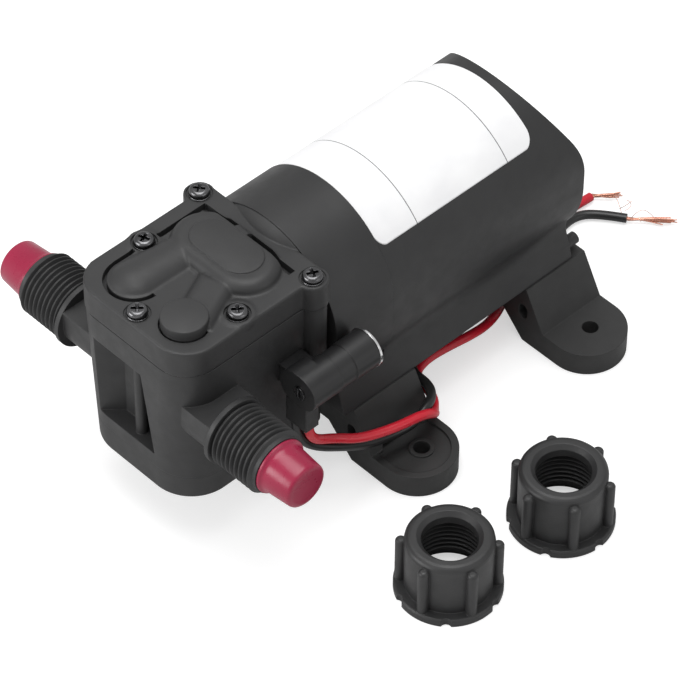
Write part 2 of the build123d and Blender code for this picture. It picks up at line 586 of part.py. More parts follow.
def switch_body():
    x0, x1 = SWITCH_X0, SWITCH_BLOCK_X1
    low = SWITCH_Z - SWITCH_R
    inner_y = SWITCH_Y + SWITCH_FACE_IN - SWITCH_R
    body = rod_x(SWITCH_R, x0, x1, SWITCH_Y, SWITCH_Z) + rod_x(SWITCH_R, x0, SWITCH_FACE_X1, inner_y, SWITCH_Z)
    body += block(x0, SWITCH_FACE_X1, SWITCH_Y, inner_y, low, SWITCH_Z + SWITCH_R)
    link_x0, link_x1, link_top = SWITCH_LINK
    body += block(link_x0, link_x1, SWITCH_Y, 2 - HEAD_HALF, low, SWITCH_Z + link_top)
    body -= head_block(HEAD_PART_Z, HEAD_SEAM_Z) + block(x1, x1 + 1, SWITCH_Y - 9, SWITCH_Y + 6.5, low - 1, 70)
    body += block(*SWITCH_BOX)
    bx0, bx1, by0, by1, bz0, bz1 = SWITCH_BOX
    body -= block(bx0 + 1.0, bx1 - 1.0, by0 + 1.2, by1 - 1.2, bz0 + 1.2, SWITCH_Z)
    body -= rod_x(3.0, -75.4, x1 + 1, SWITCH_Y, SWITCH_Z)
    body -= rod_x(ADJUST_R + 0.05, x0 - 2, -74, SWITCH_Y, SWITCH_Z)
    duct_y = SWITCH_Y + DUCT_OFF
    body -= rod_y(0.6, duct_y, -20, -69.5, SWITCH_Z) + rod_x(0.6, -69.5, x1 + 1, duct_y, SWITCH_Z)
    return body


def switch_cap():
    x0, x1 = SWITCH_BLOCK_X1, SWITCH_CAP_X1
    cap = rod_x(SWITCH_R - 0.25, x0, SWITCH_STEP_X, SWITCH_Y, SWITCH_Z)
    cap += rod_x(SWITCH_R, SWITCH_STEP_X, x1, SWITCH_Y, SWITCH_Z)
    cap -= rod_x(4.0, x0 - 1, x0 + 0.8, SWITCH_Y, SWITCH_Z) + rod_x(3.0, x0, x1 - 3, SWITCH_Y, SWITCH_Z)
    duct_y = SWITCH_Y + DUCT_OFF
    cap -= rod_x(0.6, x0 - 1, x0 + 5, duct_y, SWITCH_Z) + rod_y(0.6, SWITCH_Y, duct_y + 0.3, x0 + 4.5, SWITCH_Z)
    return cap


def switch_spring():
    path = Helix(pitch=1.05, height=3.15, radius=2.2)
    coil = sweep(Plane(origin=path @ 0, z_dir=path % 0) * Circle(0.25), path)
    return Pos(-74.0 + 0.35, SWITCH_Y, SWITCH_Z) * Rot(0, 90, 0) * coil


def switch_plunger():
    x0, x1 = -70.1, SWITCH_BLOCK_X1
    plunger = rod_x(2.7, x0 + 0.1, x1, SWITCH_Y, SWITCH_Z)
    arm = block(x0 + 0.1, x1 - 1.4, SWITCH_Y - 1, SWITCH_Y + 1, SWITCH_Z - 2.8, SWITCH_Z)
    return plunger + arm


def snap_switch():
    bx0, bx1, by0, by1, bz0, bz1 = SWITCH_BOX
    case = block(bx0 + 1.1, bx1 - 1.1, by0 + 1.6, by1 - 1.6, bz0 + 1.2, bz1 - 2.6)
    return case + block(-76.4, -75.0, SWITCH_Y - 1, SWITCH_Y + 1, bz1 - 2.8, bz1 - 1.6)


# Plugs, nuts and leads

def port_plug(side):
    """Plug in a port: insert, flange on the port's end face and a tapering grip, open inside."""
    depth = SOCKET_DEPTH - 1
    grip = PLUG_END - PORT_END
    plug = turned([
        (0, -1.6), (SOCKET_R - 1.8, -1.6), (SOCKET_R - 1.8, -depth), (SOCKET_R - 0.05, -depth),
        (SOCKET_R - 0.05, 0), (PLUG_FLANGE_R, 0), (PLUG_FLANGE_R, PLUG_FLANGE_T), (PLUG_R0, PLUG_FLANGE_T),
        (PLUG_R1, grip - 0.8), (PLUG_R1 - 0.8, grip), (0, grip)])
    return Pos(PORT_X, side * PORT_END, PORT_Z) * Rot(-side * 90, 0, 0) * plug


def union_nut(x, y, turn):
    """Union nut standing on its flange, mouth down, with a lip on top."""
    root, crest = PORT_R + 0.35, PORT_R - THREAD_DEPTH + 0.3
    inside = [(NUT_HOLE_R + 1.4, NUT_H), (NUT_HOLE_R, NUT_H - 1.4), (NUT_HOLE_R, NUT_H - NUT_LIP)]
    top = NUT_H - NUT_LIP
    inside += [(root, top)]
    while top > NUT_MOUTH_H + THREAD_PITCH:
        inside += [(root, top - 0.6), (crest, top - 1.05), (crest, top - 1.25), (root, top - 1.7)]
        top -= THREAD_PITCH
    inside += [(root, NUT_MOUTH_H), (NUT_MOUTH_R, NUT_MOUTH_H), (NUT_MOUTH_R, 0)]
    outside = [(NUT_FLANGE_R, 0), (NUT_FLANGE_R, 2.0), (NUT_FLANGE_R - 0.5, 2.5), (NUT_R, 2.5),
               (NUT_TOP_R, NUT_H - 2.0), (NUT_TOP_R - 0.15, NUT_H - 1.2), (NUT_TOP_R - 0.6, NUT_H - 0.6),
               (NUT_TOP_R - 1.2, NUT_H - 0.15), (NUT_TOP_R - 2.0, NUT_H)]
    nut = turned(inside + outside)
    for i in range(6):
        rib = rod_z(1.7, 2, NUT_H - 2.0, NUT_RIB_R - 1.7)
        rib = fillet(rib.edges().sort_by(Axis.Z)[-1:], 1.2)
        nut += Rot(0, 0, 60 * i) * rib
        nut -= Rot(0, 0, 60 * i + 30) * rod_z(1.7, -1, 4, NUT_FLANGE_R + 0.7)
    return Pos(x, y, 0) * Rot(0, 0, turn) * nut


def lead_radii(points):
    """Bend radius at each corner of a route: as large as the shorter run next to it allows."""
    spots = [Vector(*p) for p in points]
    radii = []
    for a, b, c in zip(spots, spots[1:], spots[2:]):
        run_in, run_out = b - a, c - b
        turn = radians(run_in.get_angle(run_out))
        radii.append(0.45 * min(run_in.length, run_out.length) / tan(turn / 2))
    return radii


def lead(points, r=LEAD_R):
    path = FilletPolyline(*points, radius=lead_radii(points))
    return sweep(Plane(origin=path @ 0, z_dir=path % 0) * Circle(r), path)


RED_ROUTE = [
    (-74.9, -36.3, 41.0), (-74.9, -36.3, 38.2), (-73.7, -36.2, 34.0), (-71.0, -36.2, 30.6), (-64.9, -37.0, 27.4),
    (-58.9, -40.8, 25.6), (-51.7, -42.4, 24.0), (-44.7, -44.3, 23.7), (-35.8, -44.9, 22.4), (-30.7, -44.4, 16.5),
    (-27.2, -39.8, 12.5), (-21.7, -35.2, 12.6), (-19.8, -26.2, 12.1), (-11.7, -21.3, 10.9), (-2.6, -24.4, 10.3),
    (7.0, -23.0, 8.9), (16.0, -20.4, 5.2), (25.5, -16.6, 2.7), (36.0, -10.6, 1.6), (47.0, -4.4, 1.6),
    (58.0, -0.2, 1.6), (70.0, 0.4, 1.6), (82.9, -0.5, 1.6)]
BLACK_ROUTE = [
    (-76.4, -32.7, 41.0), (-76.4, -32.7, 38.2), (-75.5, -33.0, 33.6), (-73.6, -33.9, 29.3), (-69.5, -35.4, 25.9),
    (-63.6, -37.2, 22.9), (-56.3, -39.0, 19.3), (-49.8, -39.1, 16.2), (-43.0, -39.7, 14.9), (-36.4, -40.9, 15.1),
    (-30.8, -40.3, 17.3), (-25.6, -38.2, 16.8), (-22.0, -33.3, 16.1), (-21.4, -24.6, 14.9), (-14.2, -18.5, 13.4),
    (-2.0, -20.4, 13.6), (7.6, -19.2, 10.6), (16.5, -16.8, 8.4), (25.5, -13.6, 6.2), (35.0, -11.2, 5.1),
    (45.0, -9.2, 4.4), (54.5, -7.0, 2.6), (64.0, -4.2, 1.6), (72.1, -3.0, 1.6), (78.4, -6.4, 1.6),
    (84.1, -15.2, 1.6)]


def strands(route, heading, splay):
    """Bare copper strands that leave a lead's stripped end and fan out on the floor."""
    end = Vector(*route[-1])
    out = (end - Vector(*route[-2])).normalized()
    across = Vector(-out.Y, out.X, 0).normalized()
    bundle = Part()
    for i, (turn, rise, length) in enumerate(splay):
        ring = 0.62 if i else 0.0
        start = end + across * (ring * cos(radians(60 * i))) + Vector(0, 0, ring * sin(radians(60 * i)))
        a = radians(heading + turn)
        mid = start + out * (0.3 * length)
        tip = mid + Vector(cos(a), sin(a), 0) * (0.7 * length) + Vector(0, 0, rise)
        path = FilletPolyline(start, mid, tip, radius=0.6 * length)
        bundle += sweep(Plane(origin=path @ 0, z_dir=path % 0) * Circle(STRAND_R), path)
    return bundle


def main():
    os.makedirs("parts", exist_ok=True)
    save("motor_shroud", shroud())
    save("label", label())
    save("adapter_housing", adapter())
    save("front_foot", foot(-FOOT_PITCH / 2, FOOT_AHEAD[0], True))
    save("rear_foot", foot(FOOT_PITCH / 2, FOOT_AHEAD[1], False))

    save("pump_head", pump_head())
    save("valve_cover", valve_cover())
    save("bottom_cover", bottom_cover())
    save("valve_plate", valve_plate())
    save("inlet_valve", Pos(CHAMBER_X, VALVE_Y, DISH_TOP) * umbrella_valve(False))
    save("outlet_valve", Pos(CHAMBER_X, -VALVE_Y, PLATE_TOP) * umbrella_valve(True))
    save("diaphragm", diaphragm())
    save("connecting_rod", connecting_rod())
    save("clamp_plate", clamp_plate())
    save("clamp_screw", clamp_screw())
    save("rod_bearing", ball_bearing(ROD_BEARING_R, ECC_R + RUN, CHAMBER_X - 3.5, CHAMBER_X + 3.5, ROD_Z))

    cover = [Pos(x, y, HEAD_TOP - 0.5) * pan_screw(17) for x, y in COVER_SCREWS]
    save("cover_screws", Compound(children=cover))
    turned_up = Rot(180, 0, 0) * pan_screw(15, head_r=3.0)
    save("bottom_screws", Compound(children=[Pos(x, y, HEAD_BOTTOM + 2.4) * turned_up for x, y in BOTTOM_SCREWS]))
    forward = Rot(0, 90, 0) * pan_screw(12, head_r=2.4, head_h=1.8)
    seat = HEAD_X1 + ADAPTER_FRONT_T
    save("adapter_screws", Compound(children=[Pos(seat, y, z) * forward for y, z in ADAPTER_SCREWS]))
    backward = Rot(0, -90, 0) * pan_screw(6, head_r=2.8, head_h=1.8)
    seat = SHROUD_X0 - ADAPTER_REAR_T
    save("motor_screws", Compound(children=[
        Pos(seat, 0, AXIS_Z + side * MOTOR_SCREW_Z) * backward for side in (-1, 1)]))

    save("motor_shaft", rod_x(SHAFT_R, SHAFT_X0, SHAFT_X1))
    save("eccentric", eccentric())
    save("eccentric_set_screw", eccentric_set_screw())
    save("armature_core", armature_core())
    save("armature_windings", armature_windings())
    save("commutator", commutator())
    save("drive_bearing", ball_bearing(BEARING_R, SHAFT_R + RUN, HEAD_X1, HEAD_X1 + BEARING_W))
    x = SHROUD_X0 - CAN_BOSS_L + 0.6
    save("motor_bearing", ball_bearing(BEARING_R, SHAFT_R + RUN, x, x + BEARING_W))
    save("rear_bush", tube_x(BUSH_R, SHAFT_R + RUN, CAN_X1 - 2, SHAFT_X1 + 0.4))
    save("motor_can", motor_can())
    save("motor_end_cap", motor_end_cap())
    save("magnets", magnets())
    save("brushes", Compound(children=[brush(1), brush(-1)]))
    save("brush_holders", Compound(children=[brush_holder(1), brush_holder(-1)]))

    save("switch_body", switch_body())
    save("switch_cap", switch_cap())
    save("switch_rim", rod_x(SWITCH_R + 0.25, SWITCH_CAP_X1, SWITCH_END_X, SWITCH_Y, SWITCH_Z))
    slot = Pos(SWITCH_X0 - 0.5, SWITCH_Y, SWITCH_Z) * Box(1.6, 0.7, 3.4)
    save("adjusting_screw", rod_x(ADJUST_R, SWITCH_X0 - 0.5, -74, SWITCH_Y, SWITCH_Z) - slot)
    save("switch_spring", switch_spring())
    save("switch_plunger", switch_plunger())
    save("switch_membrane", rod_x(4.0, SWITCH_BLOCK_X1, SWITCH_BLOCK_X1 + 0.8, SWITCH_Y, SWITCH_Z))
    save("snap_switch", snap_switch())

    save("outlet_plug", port_plug(-1))
    save("inlet_plug", port_plug(1))
    for name, x, y, turn in NUTS:
        save(name, union_nut(x, y, turn))

    save("red_lead", lead(RED_ROUTE))
    save("black_lead", lead(BLACK_ROUTE))
    save("red_strands", strands(RED_ROUTE, -44, [
        (0, 0.2, 11), (7, -0.3, 10.5), (-5, 0.1, 11.5), (3, 0.8, 10), (10, 0.4, 9), (-10, -0.2, 9.5), (-3, -0.3, 12)]))
    save("black_strands", strands(BLACK_ROUTE, -50, [
        (0, 0.2, 17), (6, -0.3, 15), (-6, 0.1, 16.5), (2, 0.9, 14), (9, 0.4, 13), (-9, -0.2, 14.5), (-3, -0.3, 18)]))

    for name, route in (("red_lead", RED_ROUTE), ("black_lead", BLACK_ROUTE)):
        radii = lead_radii(route)
        print(name, "smallest bend radius", round(min(radii), 2), "all", [round(r, 1) for r in radii])


main()
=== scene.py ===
# %% [markdown]
# # A small diaphragm pump, dressed for its picture
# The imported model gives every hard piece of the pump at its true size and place. This lesson loads it, points a
# camera at it, and then makes by hand the pieces whose looks need more than a plain solid: soft blends, rolled
# edges, cross recesses, cable and bare copper. At the end it lights the pump like a catalogue picture.

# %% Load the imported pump
import json
import math
import bmesh
import bpy
from mathutils import Matrix, Vector


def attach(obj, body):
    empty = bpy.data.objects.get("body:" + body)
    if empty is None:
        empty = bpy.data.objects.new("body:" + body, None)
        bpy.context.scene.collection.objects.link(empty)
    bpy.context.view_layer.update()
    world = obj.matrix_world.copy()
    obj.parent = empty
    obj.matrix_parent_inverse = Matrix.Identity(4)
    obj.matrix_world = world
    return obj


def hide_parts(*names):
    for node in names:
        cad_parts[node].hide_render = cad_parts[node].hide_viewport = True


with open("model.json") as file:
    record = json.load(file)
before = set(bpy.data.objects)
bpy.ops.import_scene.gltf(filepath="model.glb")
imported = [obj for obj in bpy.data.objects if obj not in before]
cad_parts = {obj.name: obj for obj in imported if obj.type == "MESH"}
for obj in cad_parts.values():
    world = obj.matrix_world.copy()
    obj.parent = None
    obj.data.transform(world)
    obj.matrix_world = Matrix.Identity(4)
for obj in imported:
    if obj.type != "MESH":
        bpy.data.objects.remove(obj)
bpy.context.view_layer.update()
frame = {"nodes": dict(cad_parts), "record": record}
cad_nodes = frame["nodes"]
MM = 0.001

# %% [markdown]
# The picture was taken with a long lens from above, on the side of the pressure switch. A long lens keeps
# parallel edges nearly parallel. The camera is given by its place and by the three directions of its own axes:
# to the right in the picture, up in the picture, and back from the subject towards the lens. Places and
# distances are in metres here, and the lens and its sensor are in millimetres.

# %% Camera
AIM, DISTANCE = Vector((-0.02729, 0, 0.01409)), 1.30786
AZIMUTH, ELEVATION, ROLL = math.radians(-44.042), math.radians(46.072), math.radians(0.418)
LENS, SENSOR_WIDTH = 227.6, 36
NEAREST, FARTHEST = 0.05, 20

level = Vector((math.cos(AZIMUTH), math.sin(AZIMUTH), 0))
back = Vector((math.sin(AZIMUTH) * math.cos(ELEVATION), -math.cos(AZIMUTH) * math.cos(ELEVATION),
               math.sin(ELEVATION)))
upright = back.cross(level)
right = level * math.cos(ROLL) + upright * math.sin(ROLL)
up = upright * math.cos(ROLL) - level * math.sin(ROLL)
camera_at = AIM + back * DISTANCE
bpy.ops.object.camera_add(location=camera_at)
camera = bpy.context.object
camera.name = "picture_camera"
camera.matrix_world = Matrix.Translation(camera_at) @ Matrix((right, up, back)).transposed().to_4x4()
camera.data.lens, camera.data.sensor_width = LENS, SENSOR_WIDTH
camera.data.clip_start, camera.data.clip_end = NEAREST, FARTHEST
bpy.context.scene.camera = camera
print("camera at", tuple(round(c, 3) for c in camera_at))

# %% [markdown]
# Two leads leave the switch, turn round the front foot, run under the motor and end stripped on the floor.
# A lead could be a row of straight runs with rounded corners, but a free lead hardly has a straight run. So each
# is a NURBS curve, which passes softly by its control points: the places where the lead changes its mind.

# %% Routes of the leads, in millimetres
LEAD_WIDTH = 3.0
RED_ROUTE = [
    (-74.9, -36.3, 41.0), (-74.9, -36.3, 38.2), (-73.7, -36.2, 34.0), (-71.0, -36.2, 30.6), (-64.9, -37.0, 27.4),
    (-58.9, -40.8, 25.6), (-51.7, -42.4, 24.0), (-44.7, -44.3, 23.7), (-35.8, -44.9, 22.4), (-30.9, -44.8, 19.0),
    (-27.2, -40.6, 13.4), (-21.7, -35.2, 12.4), (-19.8, -24.4, 12.0), (-11.7, -21.5, 10.7), (-3.0, -21.7, 10.0),
    (6.8, -21.8, 8.0), (16.0, -20.4, 5.2), (25.5, -16.6, 2.7), (36.0, -10.6, 1.6), (47.0, -4.4, 1.6),
    (58.0, -0.2, 1.6), (70.0, 0.4, 1.6), (82.9, -0.5, 1.6)]
BLACK_ROUTE = [
    (-76.4, -32.7, 41.0), (-76.4, -32.7, 38.2), (-75.5, -33.0, 33.6), (-73.6, -33.9, 29.3), (-69.5, -35.4, 25.9),
    (-63.6, -37.2, 22.9), (-56.3, -39.0, 19.3), (-49.8, -39.1, 16.2), (-43.0, -39.7, 14.9), (-36.4, -40.9, 15.1),
    (-30.8, -40.3, 17.3), (-25.6, -38.2, 16.8), (-22.0, -33.3, 16.1), (-21.4, -24.6, 14.9), (-14.2, -18.5, 13.4),
    (-2.0, -20.4, 13.6), (7.6, -19.2, 10.6), (16.5, -16.8, 8.4), (25.5, -13.6, 6.2), (35.0, -11.2, 5.1),
    (45.0, -9.2, 4.4), (54.5, -7.0, 2.6), (64.0, -4.2, 1.6), (72.1, -3.0, 1.6), (78.4, -6.4, 1.6),
    (84.1, -15.2, 1.6)]
print("places along the leads:", len(RED_ROUTE), len(BLACK_ROUTE))

# %% [markdown]
# The round section could be a cylinder bent along the curve, but a curve can carry its own: the bevel. The
# bevel here is one metre deep and each point's radius scales it down to half the lead's width. That keeps the
# curve's reported size true, and a thin copper wire later needs no more than a smaller radius.

# %% A curve that hangs smoothly along its points
def soft_curve(name, points, thickness, sides=6):
    line = bpy.data.curves.new(name, "CURVE")
    line.dimensions = "3D"
    line.bevel_depth = 1.0
    line.bevel_resolution = sides
    line.use_fill_caps = True
    spline = line.splines.new("NURBS")
    spline.points.add(len(points) - 1)
    for knot, place in zip(spline.points, points):
        knot.co = (*(Vector(place) * MM), 1)
        knot.radius = thickness / 2 * MM
    spline.order_u = 3
    spline.use_endpoint_u = True
    spline.resolution_u = 12
    curve = bpy.data.objects.new(name, line)
    bpy.context.scene.collection.objects.link(curve)
    return curve


# %% The two leads
leads = {}
for colour, route, length in (("red", RED_ROUTE, 0.189), ("black", BLACK_ROUTE, 0.195)):
    lead = soft_curve(colour + "_flex", route, LEAD_WIDTH)
    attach(lead, "pump")
    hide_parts(colour + "_lead")
    leads[colour] = (lead, route, length)
print("leads:", sorted(leads))

# %% [markdown]
# Moulded plastic looks flat when it has a single colour. Real mouldings have a very fine grain from the steel of
# the mould, slow changes of gloss where hands and cooling left their marks, and edges that are never sharp.
# All of that could be painted on pictures and wrapped round the pieces. Noise that is worked out in space needs
# no wrapping and has no seams, so every finish starts from the place on the piece.

# %% A material, and noise to spread over it
def node_at(tree, kind, x, y, **settings):
    made = tree.nodes.new(kind)
    made.location = (x, y)
    for key, value in settings.items():
        setattr(made, key, value)
    return made


def new_material(name):
    """An empty material: its tree, its shader, and the place on the piece that every pattern starts from."""
    material = bpy.data.materials.new(name)
    material.use_nodes = True
    tree = material.node_tree
    tree.nodes.clear()
    out = node_at(tree, "ShaderNodeOutputMaterial", 900, 0)
    shader = node_at(tree, "ShaderNodeBsdfPrincipled", 600, 0)
    tree.links.new(shader.outputs["BSDF"], out.inputs["Surface"])
    place = node_at(tree, "ShaderNodeTexCoord", -900, 0)
    return material, tree, shader, place.outputs["Object"]


def cloud(tree, place, scale, detail, x, y):
    """Soft noise of a given fineness."""
    noise = node_at(tree, "ShaderNodeTexNoise", x, y)
    noise.inputs["Scale"].default_value = scale
    noise.inputs["Detail"].default_value = detail
    tree.links.new(place, noise.inputs["Vector"])
    return noise.outputs["Fac"]


def mottled(tree, place, scale, low, high, x, y):
    """A number that wanders between low and high over the surface."""
    spread = node_at(tree, "ShaderNodeMapRange", x + 200, y)
    spread.inputs["From Min"].default_value, spread.inputs["From Max"].default_value = 0.3, 0.7
    spread.inputs["To Min"].default_value, spread.inputs["To Max"].default_value = low, high
    tree.links.new(cloud(tree, place, scale, 3.0, x, y), spread.inputs["Value"])
    return spread.outputs["Result"]


def two_tone(tree, factor, dark, light, x, y):
    mix = node_at(tree, "ShaderNodeMix", x, y, data_type="RGBA")
    mix.inputs["A"].default_value = (*dark, 1)
    mix.inputs["B"].default_value = (*light, 1)
    tree.links.new(factor, mix.inputs["Factor"])
    return mix.outputs["Result"]


def grain(tree, place, shader, scale, depth, edge):
    """Fine surface grain, over edges that are rounded off by the given radius."""
    bump = node_at(tree, "ShaderNodeBump", 300, -400)
    bump.inputs["Strength"].default_value = 1.0
    bump.inputs["Distance"].default_value = depth
    tree.links.new(cloud(tree, place, scale, 4.0, -200, -400), bump.inputs["Height"])
    if edge:
        rounded = node_at(tree, "ShaderNodeBevel", 0, -600, samples=6)
        rounded.inputs["Radius"].default_value = edge
        tree.links.new(rounded.outputs["Normal"], bump.inputs["Normal"])
    tree.links.new(bump.outputs["Normal"], shader.inputs["Normal"])


# %% [markdown]
# Metals take their colour from what they mirror: what tells one from the other is the tint and how blurred the
# mirror is. Plastic and metal could have a recipe each, but both need two tones in patches, a gloss that wanders
# and some grain over softened edges. One recipe serves both, and only its numbers differ.

# %% One recipe for plastic and metal
def surface(name, dark, light, gloss, patches, sheen, scale, depth, edge, metallic=0.0):
    """Two tones in patches, gloss that wanders at the scale of the sheen, and grain over softened edges."""
    material, tree, shader, place = new_material(name)
    shader.inputs["Metallic"].default_value = metallic
    tone = two_tone(tree, mottled(tree, place, patches, 0, 1, -600, 200), dark, light, 0, 200)
    tree.links.new(tone, shader.inputs["Base Color"])
    tree.links.new(mottled(tree, place, sheen, *gloss, -600, -100), shader.inputs["Roughness"])
    grain(tree, place, shader, scale, depth, edge)
    return material


def moulded(name, dark, light, gloss, scale=2600, depth=0.00002, edge=0.0004):
    return surface(name, dark, light, gloss, 60, 220, scale, depth, edge)


def metal(name, dark, light, gloss):
    return surface(name, dark, light, gloss, 260, 700, 900, 0.000006, 0.0002, metallic=1.0)


# %% [markdown]
# The label is a white film, and on the real one two thin rules divide it into fields. Strips of mesh would stand
# off the film or flicker in it. So the rules are drawn in the material by their place along the motor, and they
# bend round the motor with the film.

# %% Label film with its thin rules
RULES_AT, RULE_HALF_WIDTH = (-0.0185, 0.0190), 0.00013
PAPER_DARK, PAPER_LIGHT, INK = (0.80, 0.80, 0.81), (0.86, 0.86, 0.865), (0.05, 0.05, 0.055, 1)


def printed_film():
    material, tree, shader, place = new_material("white_film_with_rules")
    paper = two_tone(tree, mottled(tree, place, 90, 0, 1, -600, 300), PAPER_DARK, PAPER_LIGHT, -200, 300)
    along = node_at(tree, "ShaderNodeSeparateXYZ", -700, -100)
    tree.links.new(place, along.inputs["Vector"])
    both = node_at(tree, "ShaderNodeMath", -250, -200, operation="MAXIMUM")
    for i, x in enumerate(RULES_AT):
        rule = node_at(tree, "ShaderNodeMath", -450, -100 - 160 * i, operation="COMPARE")
        rule.inputs[1].default_value = x
        rule.inputs[2].default_value = RULE_HALF_WIDTH
        tree.links.new(along.outputs["X"], rule.inputs[0])
        tree.links.new(rule.outputs[0], both.inputs[i])
    printed = node_at(tree, "ShaderNodeMix", 100, 200, data_type="RGBA")
    printed.inputs["B"].default_value = INK
    tree.links.new(both.outputs[0], printed.inputs["Factor"])
    tree.links.new(paper, printed.inputs["A"])
    tree.links.new(printed.outputs["Result"], shader.inputs["Base Color"])
    tree.links.new(mottled(tree, place, 300, 0.35, 0.45, -600, -500), shader.inputs["Roughness"])
    grain(tree, place, shader, 1500, 0.000004, 0)
    return material


# %% [markdown]
# Each finish has a darker tone, a lighter tone, and the lowest and highest blur of its gloss. A sheath is nearly
# free of grain and has no edges to soften. The parts inside the pump have finishes of their own too, so that
# they look right when it is opened.

# %% One material for each finish of the pump
SHEATH = {"scale": 1500, "depth": 0.000006, "edge": 0}

finishes = {
    "head_plastic": moulded("charcoal_nylon", (0.021, 0.021, 0.0215), (0.027, 0.027, 0.0275), (0.46, 0.58)),
    "shroud_plastic": moulded("charcoal_shroud", (0.016, 0.016, 0.0165), (0.020, 0.020, 0.0205), (0.44, 0.54)),
    "foot_rubber": moulded("soft_grey_rubber", (0.017, 0.017, 0.017), (0.023, 0.023, 0.023), (0.52, 0.62)),
    "switch_plastic": moulded("black_switch_plastic", (0.010, 0.010, 0.0105), (0.013, 0.013, 0.0135),
                              (0.38, 0.46)),
    "label_film": printed_film(),
    "plug_plastic": moulded("crimson_soft_plastic", (0.27, 0.008, 0.040), (0.33, 0.011, 0.052), (0.24, 0.34),
                            scale=900, depth=0.00001),
    "nut_plastic": moulded("black_nut_plastic", (0.018, 0.018, 0.0185), (0.026, 0.026, 0.0265), (0.40, 0.52),
                           scale=1500, depth=0.00004),
    # The screw steel is far darker than bare zinc. This is a painted dark reflection: it imitates the dark
    # surroundings that the screws would mirror, which the white sky does not give.
    "screw_steel": metal("zinc_with_painted_dark_reflection", (0.09, 0.09, 0.093), (0.17, 0.17, 0.175), (0.18, 0.30)),
    "rim_steel": metal("polished_rim", (0.80, 0.80, 0.81), (0.88, 0.88, 0.88), (0.08, 0.14)),
    "red_insulation": moulded("red_cable_sheath", (0.52, 0.010, 0.024), (0.60, 0.014, 0.032), (0.25, 0.34),
                              **SHEATH),
    "black_insulation": moulded("black_cable_sheath", (0.010, 0.010, 0.010), (0.014, 0.014, 0.014),
                                (0.28, 0.36), **SHEATH),
    "copper": metal("bare_copper", (0.62, 0.27, 0.19), (0.75, 0.40, 0.30), (0.22, 0.35)),
    "diaphragm_rubber": moulded("black_diaphragm_rubber", (0.010, 0.010, 0.010), (0.013, 0.013, 0.013),
                                (0.5, 0.6)),
    "valve_plastic": moulded("natural_valve_plastic", (0.60, 0.58, 0.52), (0.66, 0.64, 0.58), (0.35, 0.45)),
    "rod_metal": metal("die_cast_metal", (0.45, 0.45, 0.46), (0.55, 0.55, 0.56), (0.35, 0.5)),
    "shaft_steel": metal("ground_steel", (0.50, 0.50, 0.51), (0.60, 0.60, 0.61), (0.18, 0.28)),
    "core_iron": metal("stacked_iron_sheets", (0.16, 0.16, 0.165), (0.24, 0.24, 0.25), (0.4, 0.55)),
    "can_paint": metal("dull_zinc_can", (0.32, 0.32, 0.33), (0.42, 0.42, 0.43), (0.35, 0.5)),
    "cap_plastic": moulded("black_cap_plastic", (0.012, 0.012, 0.012), (0.016, 0.016, 0.016), (0.4, 0.5)),
    "magnet_ferrite": moulded("dull_ferrite", (0.03, 0.03, 0.032), (0.045, 0.045, 0.047), (0.55, 0.7)),
    "carbon": moulded("pressed_carbon", (0.02, 0.02, 0.02), (0.03, 0.03, 0.03), (0.4, 0.55)),
    "holder_brass": metal("stamped_brass", (0.60, 0.42, 0.16), (0.70, 0.52, 0.24), (0.2, 0.32)),
}


def dress(piece, slot_name):
    """Give a piece one finish, and nothing else."""
    piece.data.materials.clear()
    piece.data.materials.append(finishes[slot_name])


slot_of = {row["node"]: row["material_slot"] for row in frame["record"]["subparts"]}
for node_name, node in cad_nodes.items():
    dress(node, slot_of[node_name])
for colour in leads:
    dress(leads[colour][0], colour + "_insulation")
print("finishes:", len(finishes))

# %% [markdown]
# The pieces below are made by hand. Each starts as a simple primitive and is then cut, bevelled, stretched or
# joined. Sizes are in millimetres, and a finished piece keeps its origin at the world's origin, so that its
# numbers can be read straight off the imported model.

# %% Bricks and drums to start from
def deselect():
    bpy.ops.object.select_all(action="DESELECT")


def choose(pieces):
    """Select these pieces and no others, with the first one active."""
    deselect()
    for piece in pieces:
        piece.select_set(True)
    bpy.context.view_layer.objects.active = pieces[0]


def settle():
    bpy.ops.object.transform_apply(location=True, rotation=True, scale=True)
    return bpy.context.object


def brick(x0, x1, y0, y1, z0, z1):
    deselect()
    middle = ((x0 + x1) / 2 * MM, (y0 + y1) / 2 * MM, (z0 + z1) / 2 * MM)
    bpy.ops.mesh.primitive_cube_add(size=MM, location=middle)
    bpy.context.object.scale = (x1 - x0, y1 - y0, z1 - z0)
    return settle()


def drum(radius, low, high, x=0.0, y=0.0, sides=64):
    deselect()
    bpy.ops.mesh.primitive_cylinder_add(vertices=sides, radius=radius * MM, depth=(high - low) * MM,
                                        location=(x * MM, y * MM, (low + high) / 2 * MM))
    return settle()


# %% [markdown]
# An edit needs its vertices selected first. In the window they would be clicked on; a script is better served by
# a test of their place, which still holds when the piece is made with other numbers.

# %% Edits of chosen vertices
def pick(piece, test):
    """Go to edit mode and select the vertices whose place, in millimetres, passes the test."""
    choose([piece])
    bpy.ops.object.mode_set(mode="EDIT")
    bpy.ops.mesh.select_all(action="DESELECT")
    mesh = bmesh.from_edit_mesh(piece.data)
    for vertex in mesh.verts:
        vertex.select = bool(test(vertex.co / MM))
    mesh.select_flush(True)
    bmesh.update_edit_mesh(piece.data)


def bevelled(piece, test, width, steps=6):
    pick(piece, test)
    bpy.ops.mesh.bevel(offset=width * MM, segments=steps, profile=0.5, affect="EDGES")
    bpy.ops.object.mode_set(mode="OBJECT")
    return piece


def scaled(piece, test, factors):
    pick(piece, test)
    bpy.ops.transform.resize(value=factors)
    bpy.ops.object.mode_set(mode="OBJECT")
    return piece


def lengthened(piece, far, near):
    """Draw a round piece out along Y: its two halves move apart, each by its own distance."""
    for test, distance in ((lambda p: p.y > 0.01, far), (lambda p: p.y < -0.01, -near)):
        pick(piece, test)
        bpy.ops.transform.translate(value=(0, distance * MM, 0))
        bpy.ops.object.mode_set(mode="OBJECT")
    return piece


